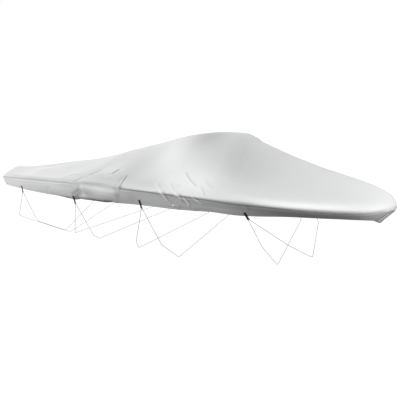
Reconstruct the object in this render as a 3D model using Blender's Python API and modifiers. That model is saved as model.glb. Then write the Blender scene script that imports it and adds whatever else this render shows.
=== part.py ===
"""Fitted cover for a V-hull runabout, in the shape that it has on the boat.

One cloth makes the top and the skirt. It is drawn as cross-sections from hem to hem, with a transom
skirt closing the stern and a narrow nose closing the bow, and is given its thickness by Solidify.
A bow patch, eight webbing tabs and four tie cords complete it. The boat itself isn't built.

Lengths are metres. While drawing, X runs forward from the transom, Y to port and Z up from the keel.
An empty then shifts everything, so that the world's origin is the point under the top that the boat
holds the cover by.
"""
import bpy
import bmesh
import numpy as np
from mathutils import Matrix, Vector

# ---------------------------------------------------------------- driving sizes
LENGTH = 5.40             # transom fold to nose
HALF_BEAM = 1.072         # widest half-width at the gunwale fold
WIDEST_AT = 0.44          # share of the length where the cover is widest
TRANSOM_SHARE = 0.889     # transom half-width as a share of HALF_BEAM
BOW_FULLNESS = 2.6        # how long the sides stay full before they close on the bow
BOW_ROUNDING = 1.9        # 1 is a pointed nose, larger is rounder
NOSE_AT = 0.9995          # share of the length where the sides stop at the narrow nose
STEM_RAKE = 0.13          # how far the hem is aft of the fold at the stem
STEM_RAKE_POWER = 8       # how quickly that rake fades aft
TRANSOM_RAKE = 0.03       # how far the hem is forward of the fold at the transom
NOSE_ROUND = 0.040        # radius of the top's turn down at the nose
CLOTH = 0.002             # cloth thickness
GAP = 0.0003              # clearance between touching pieces
HELD_AT = (3.30, 0.0, 1.82)   # the holding point, just under the cloth at the top of the hump

# Cross-sections. along: share of LENGTH; sheer: height of the gunwale fold; rise: ridge above the
# fold; shoulder: share of the half-beam at half the rise; sharp: how quickly the shoulder falls;
# edge: radius of the fold; drop: fold to hem; tuck: hem half-width as a share of the fold's.
SECTION_COLUMNS = ("along", "sheer", "rise", "shoulder", "sharp", "edge", "drop", "tuck")
SECTIONS = (
    (0.000, 1.105, 0.096, 0.93, 14.0, 0.012, 0.130, 0.975),
    (0.060, 1.121, 0.085, 0.84, 7.0, 0.012, 0.156, 0.973),
    (0.150, 1.146, 0.155, 0.78, 4.5, 0.012, 0.190, 0.965),
    (0.250, 1.169, 0.228, 0.72, 3.2, 0.012, 0.215, 0.960),
    (0.310, 1.184, 0.285, 0.70, 3.0, 0.012, 0.239, 0.958),
    (0.350, 1.195, 0.335, 0.68, 2.8, 0.012, 0.236, 0.957),
    (0.410, 1.203, 0.408, 0.67, 2.6, 0.012, 0.235, 0.956),
    (0.450, 1.206, 0.457, 0.66, 2.6, 0.012, 0.213, 0.955),
    (0.540, 1.208, 0.571, 0.64, 2.6, 0.012, 0.190, 0.952),
    (0.610, 1.206, 0.617, 0.62, 2.6, 0.012, 0.183, 0.950),
    (0.670, 1.198, 0.624, 0.60, 2.6, 0.012, 0.162, 0.945),
    (0.695, 1.193, 0.591, 0.58, 2.5, 0.012, 0.153, 0.940),
    (0.710, 1.188, 0.546, 0.58, 2.4, 0.012, 0.151, 0.939),
    (0.730, 1.184, 0.507, 0.58, 2.4, 0.012, 0.151, 0.938),
    (0.780, 1.175, 0.415, 0.62, 2.3, 0.013, 0.138, 0.930),
    (0.840, 1.160, 0.322, 0.70, 2.3, 0.017, 0.110, 0.915),
    (0.900, 1.142, 0.254, 0.80, 2.4, 0.022, 0.101, 0.880),
    (0.925, 1.133, 0.228, 0.84, 2.5, 0.023, 0.099, 0.863),
    (0.950, 1.127, 0.194, 0.90, 2.6, 0.023, 0.106, 0.840),
    (0.962, 1.127, 0.170, 0.95, 2.7, 0.023, 0.114, 0.825),
    (0.980, 1.128, 0.127, 1.00, 2.8, 0.022, 0.131, 0.800),
    (0.992, 1.122, 0.092, 1.00, 2.9, 0.018, 0.149, 0.785),
    (1.000, 1.140, 0.030, 1.00, 3.0, 0.014, 0.207, 0.780),
)

# Folds in the cloth, each a soft ridge or trough along a line, as rows of side, x and below at one
# end, x and below at the other, height and width. side: -1 starboard, 1 port, 0 both; below: distance
# down the cloth from the gunwale fold, negative on the top; height: negative in a trough; width:
# half-width.
FOLDS = (
    (-1, 0.00, -0.260, 0.60, -0.280, 0.030, 0.150),  # raised corner over the transom
    (-1, 0.00, -0.060, 0.25, -0.060, 0.012, 0.060),
    (0, 0.00, -0.950, 0.30, -0.950, -0.014, 0.350),  # sunken middle over the transom
    (1, 0.00, -0.360, 0.60, -0.360, -0.015, 0.300),  # sunken corner over the transom
    (0, 1.48, -0.180, 1.95, -0.700, 0.012, 0.150),   # edge of the flat stern
    (0, 2.42, -0.780, 3.00, -0.300, -0.018, 0.180),  # hollow behind the hump
    (0, 3.20, -0.700, 4.05, -0.130, 0.026, 0.200),   # corner post of the windscreen
    (-1, 1.93, 0.055, 2.46, 0.068, 0.024, 0.060),    # billow of the skirt
    (-1, 1.76, 0.190, 1.86, 0.130, -0.020, 0.055),   # hollow forward of the second tab
    (-1, 2.42, -0.200, 2.50, 0.000, -0.010, 0.035),  # pull down to the fold
    (-1, 1.22, 0.215, 1.60, 0.234, -0.010, 0.028),   # hem turned under
    (-1, 1.78, 0.236, 2.38, 0.216, -0.018, 0.030),
    (-1, 1.40, -0.060, 1.62, -0.420, -0.005, 0.045),
    (-1, 1.72, -0.010, 1.92, -0.450, -0.006, 0.050),
    (-1, 2.14, -0.280, 2.24, -0.420, -0.005, 0.040),
    (-1, 2.98, -0.160, 3.34, 0.140, 0.008, 0.035),
    (-1, 3.14, -0.180, 3.54, 0.140, 0.008, 0.035),
    (-1, 3.18, -0.400, 3.52, -0.150, -0.006, 0.050),
    (1, 0.90, -0.300, 1.10, -0.060, -0.006, 0.050),
    (1, 1.72, -0.010, 1.95, -0.480, -0.006, 0.050),
    (1, 1.95, 0.050, 2.40, 0.060, 0.020, 0.055),
    (1, 1.70, 0.236, 2.40, 0.216, -0.012, 0.030),
    (1, 2.45, -0.220, 2.56, 0.010, -0.010, 0.040),
    (1, 3.10, -0.180, 3.48, 0.140, 0.008, 0.035),
    (1, 3.30, -0.420, 3.60, -0.140, -0.006, 0.050),
)

# How many rows and columns the cloth is drawn with.
ROW_BANDS = ((0.00, 0.24, 9), (0.24, 0.68, 36), (0.68, 0.90, 10))   # from, to (shares), rows
BOW_ROWS = 11             # rows from the last band to the nose, evenly spread round the bow
TOP_COLUMNS = (0.0, 0.13, 0.26, 0.39, 0.51, 0.62, 0.72, 0.81, 0.90, 1.0)   # shares of the flat half
EDGE_COLUMNS = (0.5, 1.0)         # shares of the quarter turn round the gunwale fold
SKIRT_ROWS = (0.35, 0.70, 1.0)    # shares of the way from fold to hem

# Tabs. place: distance forward of the transom; lean: how far the foot leans forward, in degrees;
# sewn: length sewn over the skirt, above the hem; hanging: length below the hem.
TABS = (
    (0.487, -11.0, 0.055, 0.050),
    (1.68, 4.0, 0.055, 0.050),
    (2.825, 5.0, 0.072, 0.035),
    (4.125, 22.0, 0.052, 0.042),
)

# Tie cords, drawn tight round the hull, which isn't built. Each row is a cord's name and the bends of
# its starboard half: just below its tab's foot, at the chine and at the keel. The port half mirrors it.
CORDS = (
    ("cord_1_aft", (0.479, -0.960, 0.908), (0.14, -0.837, 0.473), (0.16, 0.0, 0.010)),
    ("cord_1_fore", (0.486, -0.960, 0.908), (0.65, -0.875, 0.467), (0.30, 0.0, 0.010)),
    ("cord_2_aft", (1.680, -1.009, 0.892), (1.52, -0.911, 0.465), (0.42, 0.0, 0.010)),
    ("cord_2_fore", (1.687, -1.009, 0.892), (1.88, -0.913, 0.470), (1.00, 0.0, 0.010)),
    ("cord_3_aft", (2.824, -1.009, 0.977), (2.62, -0.895, 0.495), (1.87, 0.0, 0.010)),
    ("cord_3_fore", (2.831, -1.009, 0.978), (3.00, -0.869, 0.518), (2.63, 0.0, 0.010)),
    ("cord_4_aft", (4.119, -0.846, 0.992), (4.20, -0.646, 0.649), (4.14, 0.0, 0.210)),
    ("cord_4_fore", (4.126, -0.845, 0.995), (4.46, -0.558, 0.691), (4.57, 0.0, 0.396)),
)

# Webbing tabs: a strap folded in half, sewn over the hem and hanging below it.
TAB_WIDTH = 0.025
STRAP = 0.0015            # one layer of webbing
FOOT_RADIUS = 0.0045      # the rounded fold at the tab's foot
FOOT_LENGTH = 0.016       # length over which the strap swells to its foot
TAB_STAND_OFF = 0.0022    # clearance to the skirt

CORD = 0.005              # tie cord diameter
HULL_BEND = 0.05          # length that a cord takes to turn at chine and keel, on each side
BEND_POINTS = 6

PATCH = 0.0015            # bow patch thickness

CLOTH_GREY = (0.62, 0.625, 0.63, 1.0)
PATCH_GREY = (0.50, 0.505, 0.51, 1.0)
WEBBING_BLACK = (0.012, 0.012, 0.013, 1.0)
CORD_GREY = (0.22, 0.22, 0.22, 1.0)


# ---------------------------------------------------------------- scene set-up
def clear_scene():
    """Remove every object, so that the script starts from nothing."""
    for old in list(bpy.data.objects):
        bpy.data.objects.remove(old, do_unlink=True)


def plain_material(name, colour, roughness, metallic=0.0):
    """A Principled material of one colour."""
    material = bpy.data.materials.new(name)
    material.use_nodes = True
    shader = material.node_tree.nodes["Principled BSDF"]
    shader.inputs["Base Color"].default_value = colour
    shader.inputs["Roughness"].default_value = roughness
    shader.inputs["Metallic"].default_value = metallic
    return material


# ---------------------------------------------------------------- shape of the cover
def section(name, along):
    """One column of SECTIONS at any share of the length.

    A cubic through the rows. Its slope at a row is the weighted mean of the slopes on both sides, or
    zero at a turning point, and at most three times the smaller of them, so that it never overshoots.
    """
    knots = np.array([row[0] for row in SECTIONS])
    values = np.array([row[SECTION_COLUMNS.index(name)] for row in SECTIONS])
    step = np.diff(knots)
    chord = np.diff(values) / step
    before, after = chord[:-1], chord[1:]
    mean = (before * step[1:] + after * step[:-1]) / (step[1:] + step[:-1])
    limit = 3.0 * np.minimum(np.abs(before), np.abs(after))
    inner = np.where(before * after > 0.0, np.clip(mean, -limit, limit), 0.0)
    slope = np.concatenate(([chord[0]], inner, [chord[-1]]))
    along = np.clip(along, 0.0, 1.0)
    i = np.clip(np.searchsorted(knots, along, side="right") - 1, 0, len(step) - 1)
    t = (along - knots[i]) / step[i]
    start = (1.0 + 2.0 * t) * (1.0 - t) ** 2 * values[i] + t * (1.0 - t) ** 2 * step[i] * slope[i]
    end = t * t * (3.0 - 2.0 * t) * values[i + 1] - t * t * (1.0 - t) * step[i] * slope[i + 1]
    return start + end


def half_beam(along):
    """Half-width at the gunwale fold: a parabola aft of WIDEST_AT, a super-ellipse forward of it."""
    along = np.asarray(along, dtype=float)
    aft = 1.0 - (1.0 - TRANSOM_SHARE) * ((WIDEST_AT - along) / WIDEST_AT) ** 2
    share = np.clip((along - WIDEST_AT) / (1.0 - WIDEST_AT), 0.0, 1.0)
    fore = (1.0 - share ** BOW_FULLNESS) ** (1.0 / BOW_ROUNDING)
    return HALF_BEAM * np.where(along < WIDEST_AT, aft, fore)


def crown(along, share):
    """Height above the fold at a share of the half-beam: a bell curve, brought to zero at the fold."""
    shoulder = section("shoulder", along)
    sharp = section("sharp", along)
    bell = 1.0 / (1.0 + (np.abs(share) / shoulder) ** sharp)
    foot = 1.0 / (1.0 + (1.0 / shoulder) ** sharp)
    return section("rise", along) * (bell - foot) / (1.0 - foot)


def bare_cloth(along, across):
    """A point of the cloth before its folds, and how far down the cloth from the fold it is.

    across runs from 0 at the centreline to 1 where the flat top ends, to 2 at the gunwale fold and to
    3 at the hem, negative to starboard. Between 1 and 2 it turns a quarter circle of radius edge. Over
    the last NOSE_ROUND the top sinks by a quarter circle too.
    """
    side = np.sign(across)
    reach = np.abs(across)
    beam = half_beam(along)
    edge = np.minimum(section("edge", along), beam / 2.0)
    sheer = section("sheer", along)
    flat = np.clip(reach, 0.0, 1.0)
    turn = np.clip(reach - 1.0, 0.0, 1.0) * np.pi / 2.0
    down = np.clip(reach - 2.0, 0.0, 1.0)
    top_y = (beam - edge) * flat + edge * np.sin(turn)
    into_nose = np.clip((along - NOSE_AT) * LENGTH + NOSE_ROUND, 0.0, NOSE_ROUND)
    sink = NOSE_ROUND - np.sqrt(NOSE_ROUND ** 2 - into_nose ** 2)
    top_z = sheer + crown(along, top_y / beam) - edge * (1.0 - np.cos(turn)) - sink
    fall = section("drop", along) - edge - sink
    in_y = beam * (section("tuck", along) - 1.0)
    rake = TRANSOM_RAKE * (1.0 - along) ** 20 - STEM_RAKE * along ** STEM_RAKE_POWER
    x = along * LENGTH + rake * down
    y = side * (top_y + in_y * down)
    z = top_z - fall * down
    below = np.where(reach < 2.0, top_y - beam, np.hypot(fall, in_y) * down)
    return np.stack((x, y, z), axis=-1), below


def fold_height(side, x, below):
    """How far the folds lift the cloth: a bell across each fold's line, summed over FOLDS."""
    lift = np.zeros_like(x)
    for fold_side, x1, b1, x2, b2, height, width in FOLDS:
        run = np.array((x2 - x1, b2 - b1))
        share = np.clip(((x - x1) * run[0] + (below - b1) * run[1]) / run.dot(run), 0.0, 1.0)
        away = np.hypot(x - x1 - share * run[0], below - b1 - share * run[1])
        ours = (side == fold_side) | (fold_side == 0)
        lift += np.where(ours, height * np.exp(-(away / width) ** 2), 0.0)
    return lift


def cloth_rows():
    """Shares of the length that get a cross-section: even in each band, then even round the bow."""
    rows = []
    for start, end, count in ROW_BANDS:
        rows.extend(np.linspace(start, end, count, endpoint=False))
    last = ROW_BANDS[-1][1]
    for step in range(BOW_ROWS + 1):
        rows.append(NOSE_AT - (NOSE_AT - last) * (1.0 - step / BOW_ROWS) ** 1.9)
    return np.array(rows)


def cloth_columns():
    """Values of across from the starboard hem to the port hem."""
    half = list(TOP_COLUMNS) + [1.0 + share for share in EDGE_COLUMNS] + [2.0 + k for k in SKIRT_ROWS]
    return np.array([-value for value in reversed(half[1:])] + half)


def grid_normals(points):
    """Outward normals of a grid of points, from the differences to its neighbours."""
    normal = np.cross(np.gradient(points, axis=0), np.gradient(points, axis=1))
    return normal / np.maximum(np.linalg.norm(normal, axis=-1, keepdims=True), 1e-12)


def cover_grid():
    """The cloth from hem to hem with its folds, as a grid of rows and columns."""
    along, across = np.meshgrid(cloth_rows(), cloth_columns(), indexing="ij")
    points, below = bare_cloth(along, across)
    lift = fold_height(np.sign(across), points[..., 0], below)
    return points + grid_normals(points) * lift[..., None]


def end_skirt(row):
    """The skirt across one end, between the two sides' skirts, which set its outline.

    A point is the top's point plus both sides' way down, mixed by its place across; its height falls
    from the top's to the hem's by the same share of the way.
    """
    side_columns = len(SKIRT_ROWS)
    top = row[side_columns:-side_columns]
    starboard = row[side_columns::-1]
    port = row[-side_columns - 1:]
    share = ((top[:, 1] - top[0, 1]) / (top[-1, 1] - top[0, 1]))[None, :, None]
    way = (1.0 - share) * (starboard - starboard[0])[:, None] + share * (port - port[0])[:, None]
    points = top[None] + way
    down = way[..., 2] / way[-1:, :, 2]
    hem = (1.0 - share[..., 0]) * starboard[-1, 2] + share[..., 0] * port[-1, 2]
    points[..., 2] = top[:, 2] + (hem - top[:, 2]) * down
    return points


def add_grid(mesh, points):
    """Add a grid of points to a bmesh as quads that face the way of grid_normals."""
    verts = [[mesh.verts.new(point) for point in row] for row in points]
    for row, next_row in zip(verts, verts[1:]):
        for i in range(len(row) - 1):
            mesh.faces.new((row[i], next_row[i], next_row[i + 1], row[i + 1]))


# ---------------------------------------------------------------- pieces
def link(obj, collection, parent):
    """Put an object in the cover's collection and under the empty that shifts it."""
    collection.objects.link(obj)
    obj.parent = parent
    return obj


def mesh_object(name, mesh, material):
    """An object made from a bmesh, with the grids' common edges welded and faces pointing out."""
    bmesh.ops.remove_doubles(mesh, verts=mesh.verts, dist=0.00001)
    data = bpy.data.meshes.new(name)
    mesh.to_mesh(data)
    mesh.free()
    data.materials.append(material)
    data.shade_smooth()
    return bpy.data.objects.new(name, data)


def add_thickness(obj, thickness, offset):
    """Turn an open surface into a sheet; offset -1 puts the thickness inside it, 1 outside."""
    solidify = obj.modifiers.new("Thickness", "SOLIDIFY")
    solidify.thickness = thickness
    solidify.offset = offset


def make_cloth(grid, material):
    """The cover cloth: the grid from hem to hem, the transom skirt and the skirt of the nose."""
    mesh = bmesh.new()
    add_grid(mesh, grid)
    add_grid(mesh, end_skirt(grid[0])[:, ::-1])
    add_grid(mesh, end_skirt(grid[-1]))
    obj = mesh_object("cover_cloth", mesh, material)
    add_thickness(obj, CLOTH, -1.0)
    return obj


def make_bow_patch(grid, material):
    """The patch sewn over the nose: the nose's skirt moved out by the gap, and thickened outwards."""
    nose = end_skirt(grid[-1])
    mesh = bmesh.new()
    add_grid(mesh, nose + grid_normals(nose) * GAP)
    obj = mesh_object("bow_patch", mesh, material)
    add_thickness(obj, PATCH, 1.0)
    return obj


def tab_outline(sewn, hanging):
    """The tab seen on its edge, x across the strap and y up it, with the hem at y = 0."""
    swell = np.linspace(0.0, 1.0, 5)
    half = STRAP + (FOOT_RADIUS - STRAP) * swell * swell * (3.0 - 2.0 * swell)
    centre = FOOT_RADIUS - hanging
    heights = centre + FOOT_LENGTH * (1.0 - swell)
    turn = np.radians(np.linspace(-36.0, -144.0, 4))
    right = [(STRAP, sewn)] + list(zip(half, heights))
    foot = [(FOOT_RADIUS * np.cos(a), centre + FOOT_RADIUS * np.sin(a)) for a in turn]
    left = [(-x, y) for x, y in reversed(right)]
    return right + foot + left


def make_tab_shape(sewn, hanging, material):
    """A tab's curve: its outline filled and given its width."""
    curve = bpy.data.curves.new("webbing_tab", "CURVE")
    curve.dimensions = "2D"
    curve.fill_mode = "BOTH"
    curve.extrude = TAB_WIDTH / 2.0
    points = tab_outline(sewn, hanging)
    spline = curve.splines.new("POLY")
    spline.points.add(len(points) - 1)
    for point, (x, y) in zip(spline.points, points):
        point.co = (x, y, 0.0, 1.0)
    spline.use_cyclic_u = True
    curve.materials.append(material)
    return curve


def skirt_point(x, side, above_hem):
    """A point of the skirt's outer face, folds included, a distance above the hem."""
    length = float(bare_cloth(x / LENGTH, 3.0)[1])
    nearby = np.array((-0.001, 0.0, 0.001))
    across = side * (3.0 - above_hem / length) + 10.0 * nearby
    points, below = bare_cloth(*np.meshgrid(x / LENGTH + nearby, across, indexing="ij"))
    lift = fold_height(side, points[..., 0], below)
    lifted = points + grid_normals(points) * lift[..., None]
    return Vector(lifted[1, 1].tolist())


def tab_matrix(x, side, lean, sewn):
    """Where a tab sits: x out of the skirt, y up the strap, z along the hull, origin at the hem."""
    hem = skirt_point(x, side, 0.0)
    up = (skirt_point(x, side, sewn) - hem).normalized()
    forward = (skirt_point(x + 0.02, side, 0.0) - skirt_point(x - 0.02, side, 0.0)).normalized()
    out = up.cross(forward).normalized() * side
    out = out if out.y * side > 0.0 else -out
    forward = (forward - out * forward.dot(out)).normalized()
    angle = np.radians(lean)
    up_leaning = (up * np.cos(angle) - forward * np.sin(angle)).normalized()
    width = out.cross(up_leaning).normalized()
    matrix = Matrix((out, up_leaning, width)).transposed().to_4x4()
    matrix.translation = hem + out * (STRAP + TAB_STAND_OFF)
    return matrix


def rounded_route(corners):
    """A route with each corner turned into a quadratic curve that starts HULL_BEND before it."""
    route = [corners[0]]
    for before, corner, after in zip(corners, corners[1:], corners[2:]):
        start = corner + (before - corner).normalized() * HULL_BEND
        end = corner + (after - corner).normalized() * HULL_BEND
        for t in np.linspace(0.0, 1.0, BEND_POINTS):
            route.append(start * (1.0 - t) ** 2 + corner * (2.0 * t * (1.0 - t)) + end * t * t)
    return route + [corners[-1]]


def cord_route(foot, chine, keel):
    """A cord from a starboard tab's foot, round the chine, under the keel and up to the port tab."""
    to_port = Vector((1.0, -1.0, 1.0))
    return rounded_route([foot, chine, keel, chine * to_port, foot * to_port])


def make_cord(name, route, material):
    """A tie cord: a round tube with filled ends along its route."""
    curve = bpy.data.curves.new(name, "CURVE")
    curve.dimensions = "3D"
    curve.bevel_depth = CORD / 2.0
    curve.bevel_resolution = 2
    curve.use_fill_caps = True
    spline = curve.splines.new("POLY")
    spline.points.add(len(route) - 1)
    for point, place in zip(spline.points, route):
        point.co = (place.x, place.y, place.z, 1.0)
    curve.materials.append(material)
    return bpy.data.objects.new(name, curve)


# ---------------------------------------------------------------- the whole cover
def build_cover():
    """Make every piece and shift them all so that HELD_AT is the world's origin."""
    clear_scene()
    collection = bpy.data.collections.new("boat_cover")
    bpy.context.scene.collection.children.link(collection)
    shift = bpy.data.objects.new("held_point_shift", None)
    shift.location = -Vector(HELD_AT)
    collection.objects.link(shift)

    cloth_grey = plain_material("coated_cloth", CLOTH_GREY, 0.45)
    patch_grey = plain_material("patch_cloth", PATCH_GREY, 0.5)
    webbing_black = plain_material("black_webbing", WEBBING_BLACK, 0.7)
    cord_grey = plain_material("grey_cord", CORD_GREY, 0.7)

    grid = cover_grid()
    link(make_cloth(grid, cloth_grey), collection, shift)
    link(make_bow_patch(grid, patch_grey), collection, shift)

    for number, (place, lean, sewn, hanging) in enumerate(TABS, start=1):
        tab_shape = make_tab_shape(sewn, hanging, webbing_black)
        for side_name, side in (("starboard", -1), ("port", 1)):
            tab = bpy.data.objects.new(f"tab_{side_name}_{number}", tab_shape)
            tab.matrix_local = tab_matrix(place, side, lean, sewn)
            link(tab, collection, shift)

    for name, foot, chine, keel in CORDS:
        route = cord_route(Vector(foot), Vector(chine), Vector(keel))
        link(make_cord(name, route, cord_grey), collection, shift)


build_cover()
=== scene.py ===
"""Fitted cover of a V-hull runabout: cloth, bow patch, webbing tabs and tie cords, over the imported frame.

Lengths are metres. Shapes are worked out in the boat's axes, X forward from the transom, Y to port and
Z up from the keel, and then moved by HELD_AT into the frame's, whose origin is the holding point.
"""

import bmesh
import bpy
import numpy as np
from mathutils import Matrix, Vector


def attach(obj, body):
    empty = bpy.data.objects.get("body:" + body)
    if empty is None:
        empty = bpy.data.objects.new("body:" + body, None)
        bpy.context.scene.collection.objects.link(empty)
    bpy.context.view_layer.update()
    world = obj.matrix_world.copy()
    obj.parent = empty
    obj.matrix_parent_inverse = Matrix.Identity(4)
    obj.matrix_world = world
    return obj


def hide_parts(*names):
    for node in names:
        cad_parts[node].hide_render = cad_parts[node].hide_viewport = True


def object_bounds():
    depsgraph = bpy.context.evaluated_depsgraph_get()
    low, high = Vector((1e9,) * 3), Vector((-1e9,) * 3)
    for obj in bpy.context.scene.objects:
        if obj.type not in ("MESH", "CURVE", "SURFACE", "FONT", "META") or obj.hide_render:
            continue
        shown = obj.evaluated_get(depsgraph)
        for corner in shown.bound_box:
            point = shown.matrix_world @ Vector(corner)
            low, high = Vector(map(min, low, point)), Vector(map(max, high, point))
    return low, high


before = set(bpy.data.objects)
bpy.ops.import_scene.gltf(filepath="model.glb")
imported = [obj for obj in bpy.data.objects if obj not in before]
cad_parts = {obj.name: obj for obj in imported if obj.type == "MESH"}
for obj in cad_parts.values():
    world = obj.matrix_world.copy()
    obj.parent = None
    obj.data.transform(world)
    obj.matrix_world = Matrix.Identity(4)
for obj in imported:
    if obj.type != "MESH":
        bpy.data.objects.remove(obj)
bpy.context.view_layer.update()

HELD_AT = np.array((3.30, 0.0, 1.82))  # the holding point in the boat's axes

# ---- camera
CAMERA_AT = (5.834, -4.482, 2.091)  # in the boat's axes
CAMERA_TURN = 32.346  # degrees aft of straight across the boat
CAMERA_DIP = 12.607  # degrees below the horizon
CAMERA_LENS = 36.0  # mm, on a sensor as wide


def new_object(name, data, place=HELD_AT):
    """An object of the scene, at a place in the boat's axes."""
    made = bpy.data.objects.new(name, data)
    made.location = Vector(place) - Vector(HELD_AT)
    bpy.context.scene.collection.objects.link(made)
    return made


def make_camera():
    """The camera, level from side to side."""
    data = bpy.data.cameras.new("camera")
    data.lens = data.sensor_width = CAMERA_LENS
    data.clip_end = 200.0
    camera = new_object("camera", data, CAMERA_AT)
    camera.rotation_euler = (np.radians(90.0 - CAMERA_DIP), 0.0, np.radians(CAMERA_TURN))
    bpy.context.scene.camera = camera


# ---- mesh helpers
MERGE_WITHIN = 0.00002  # points closer than this become one
SHARP_FROM = 50.0  # degrees between faces from which their edge is sharp


def unit(vectors):
    """Vectors scaled to a length of 1."""
    return vectors / np.maximum(np.linalg.norm(vectors, axis=-1, keepdims=True), 1e-12)


def signed_power(values, power):
    """The values' sizes to a power, with the values' signs."""
    return np.sign(values) * np.abs(values) ** power


def smoothstep(low, high, value):
    """0 up to low, 1 from high, and 3 t^2 - 2 t^3 between."""
    t = np.clip((value - low) / (high - low), 0.0, 1.0)
    return t * t * (3.0 - 2.0 * t)


def run_along(line):
    """The length run along a line of points up to each of them."""
    return np.concatenate(([0.0], np.cumsum(np.linalg.norm(np.diff(line, axis=0), axis=1))))


def at_runs(values, run, at):
    """Rows of three values at other runs along their line, linear between the rows."""
    return np.stack([np.interp(at, run, values[:, k]) for k in range(3)], axis=-1)


def full_turn(sides):
    """Angles once round a circle, with the first one again at the end."""
    return np.linspace(0.0, 2.0 * np.pi, sides + 1)


def grid_normals(points):
    """Unit normals of a grid: the cross product of its differences along rows and along columns."""
    return unit(np.cross(np.gradient(points, axis=0), np.gradient(points, axis=1)))


def grid_faces(grids):
    """Quads of several grids numbered one after the other, facing the way of grid_normals."""
    faces, first = [], 0
    for grid in grids:
        rows, columns = grid.shape[:2]
        index = first + np.arange(rows * columns).reshape(rows, columns)
        cells = np.stack((index[:-1, :-1], index[1:, :-1], index[1:, 1:], index[:-1, 1:]), axis=-1)
        faces.append(cells.reshape(-1, 4))
        first += rows * columns
    return np.concatenate(faces)


def mesh_piece(name, points, faces, finish, uv=None, marks=()):
    """A piece from points in the boat's axes and faces; uv and marks hold one value a point.

    Points that coincide are merged, which closes seams and poles.
    """
    mesh = bpy.data.meshes.new(name)
    mesh.from_pydata((points - HELD_AT).tolist(), [], faces.tolist())
    if uv is not None:
        layer = mesh.uv_layers.new(name="metres")
        layer.data.foreach_set("uv", uv[faces.ravel()].astype(np.float32).ravel())
    for mark, values in marks:
        layer = mesh.attributes.new(mark, "FLOAT", "POINT")
        layer.data.foreach_set("value", values.astype(np.float32))
    merged = bmesh.new()
    merged.from_mesh(mesh)
    bmesh.ops.remove_doubles(merged, verts=merged.verts, dist=MERGE_WITHIN)
    merged.to_mesh(mesh)
    merged.free()
    mesh.materials.append(finish)
    mesh.shade_smooth()
    mesh.set_sharp_from_angle(angle=np.radians(SHARP_FROM))
    return new_object(name, mesh)


def grid_piece(name, grids, uvs, finish, **marks):
    """A piece from several grids; each mark has a grid of values, or one value, for each."""
    points, uv = (np.concatenate([grid.reshape(-1, grid.shape[-1]) for grid in part])
                  for part in (grids, uvs))
    flat = [(mark, np.concatenate([np.broadcast_to(value, grid.shape[:2]).ravel()
                                   for value, grid in zip(values, grids)]))
            for mark, values in marks.items()]
    return mesh_piece(name, points, grid_faces(grids), finish, uv, flat)


def thicken(piece, thickness, offset):
    """Give a sheet its thickness, inward of its face with offset -1 and outward with 1."""
    solidify = piece.modifiers.new("Thickness", "SOLIDIFY")
    solidify.thickness = thickness
    solidify.offset = offset


def place_piece(piece, slot, *nodes):
    """Fix a piece to the one body, and hide the CAD nodes that it stands for; slot is not used."""
    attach(piece, "root")
    if nodes:
        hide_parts(*nodes)
    return piece


# ---- finishes
WEAVE_THREAD = 0.0009  # width of a thread in the cloth
MOTTLE = 0.06  # how far small unevenness changes the cloth's tone
TONE_LOW = 0.244  # share of the high colour at tone 0; at tone 1 it is 1
RIB = 0.0021  # from one rib of the webbing to the next
HERRINGBONE = 0.0042  # half-width of the webbing's zigzag
YARN = 0.0011  # from one yarn of a cord to the next


def new_finish(name, colour, roughness, sockets=()):
    """A Principled material with constant values on the shader's own sockets."""
    finish = bpy.data.materials.new(name)
    finish.use_nodes = True
    shader = finish.node_tree.nodes["Principled BSDF"]
    for socket, value in (("Base Color", (*colour, 1.0)), ("Roughness", roughness), *sockets):
        shader.inputs[socket].default_value = value
    return finish


def node(finish, kind, inputs=(), **settings):
    """A shader node with its settings; inputs are (socket, value or output socket) pairs."""
    made = finish.node_tree.nodes.new("ShaderNode" + kind)
    for key, value in settings.items():
        setattr(made, key, value)
    for socket, value in inputs:
        if isinstance(value, bpy.types.NodeSocket):
            finish.node_tree.links.new(value, made.inputs[socket])
        else:
            made.inputs[socket].default_value = value
    return made


def maths(finish, operation, first, second=0.0, third=0.0):
    """One Math node's output."""
    pairs = ((0, first), (1, second), (2, third))
    return node(finish, "Math", pairs, operation=operation).outputs[0]


def feed(finish, socket, value):
    """Link an output to one of the shader's own sockets."""
    finish.node_tree.links.new(value, finish.node_tree.nodes["Principled BSDF"].inputs[socket])


def set_bumps(finish, *bumps):
    """Relief from (height, distance, strength) rows, one Bump node over another."""
    below = []
    for height, distance, strength in bumps:
        inputs = [("Height", height), ("Distance", distance), ("Strength", strength)]
        below = [("Normal", node(finish, "Bump", inputs + below).outputs[0])]
    feed(finish, *below[0])


def set_colour(finish, low, high, factor):
    """Base colour mixed between two colours by a factor."""
    inputs = [("Factor", factor), ("A", (*low, 1.0)), ("B", (*high, 1.0))]
    feed(finish, "Base Color", node(finish, "Mix", inputs, data_type="RGBA").outputs["Result"])


def set_roughness(finish, low, high, value):
    """Roughness from low to high with a value from 0 to 1."""
    inputs = [("Value", value), ("To Min", low), ("To Max", high)]
    feed(finish, "Roughness", node(finish, "MapRange", inputs).outputs[0])


def uv_parts(finish):
    """The two coordinates of the UV map in metres."""
    uv = node(finish, "UVMap", uv_map="metres").outputs[0]
    return node(finish, "SeparateXYZ", [("Vector", uv)]).outputs[:2]


def wave(finish, run, length):
    """Waves along a coordinate: sin(2 pi run / length)."""
    return maths(finish, "SINE", maths(finish, "MULTIPLY", run, 2.0 * np.pi / length))


def noise(finish, scale, detail, stretch=(1.0, 1.0, 1.0), turn=0.0):
    """Noise from 0 to 1 on Object coordinates, stretched and turned."""
    source = node(finish, "TexCoord").outputs["Object"]
    place = node(finish, "Mapping",
                 [("Vector", source), ("Scale", stretch), ("Rotation", (0.0, 0.0, turn))]).outputs[0]
    pattern = node(finish, "TexNoise", [("Vector", place), ("Scale", scale), ("Detail", detail)])
    return pattern.outputs["Fac"]


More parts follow.
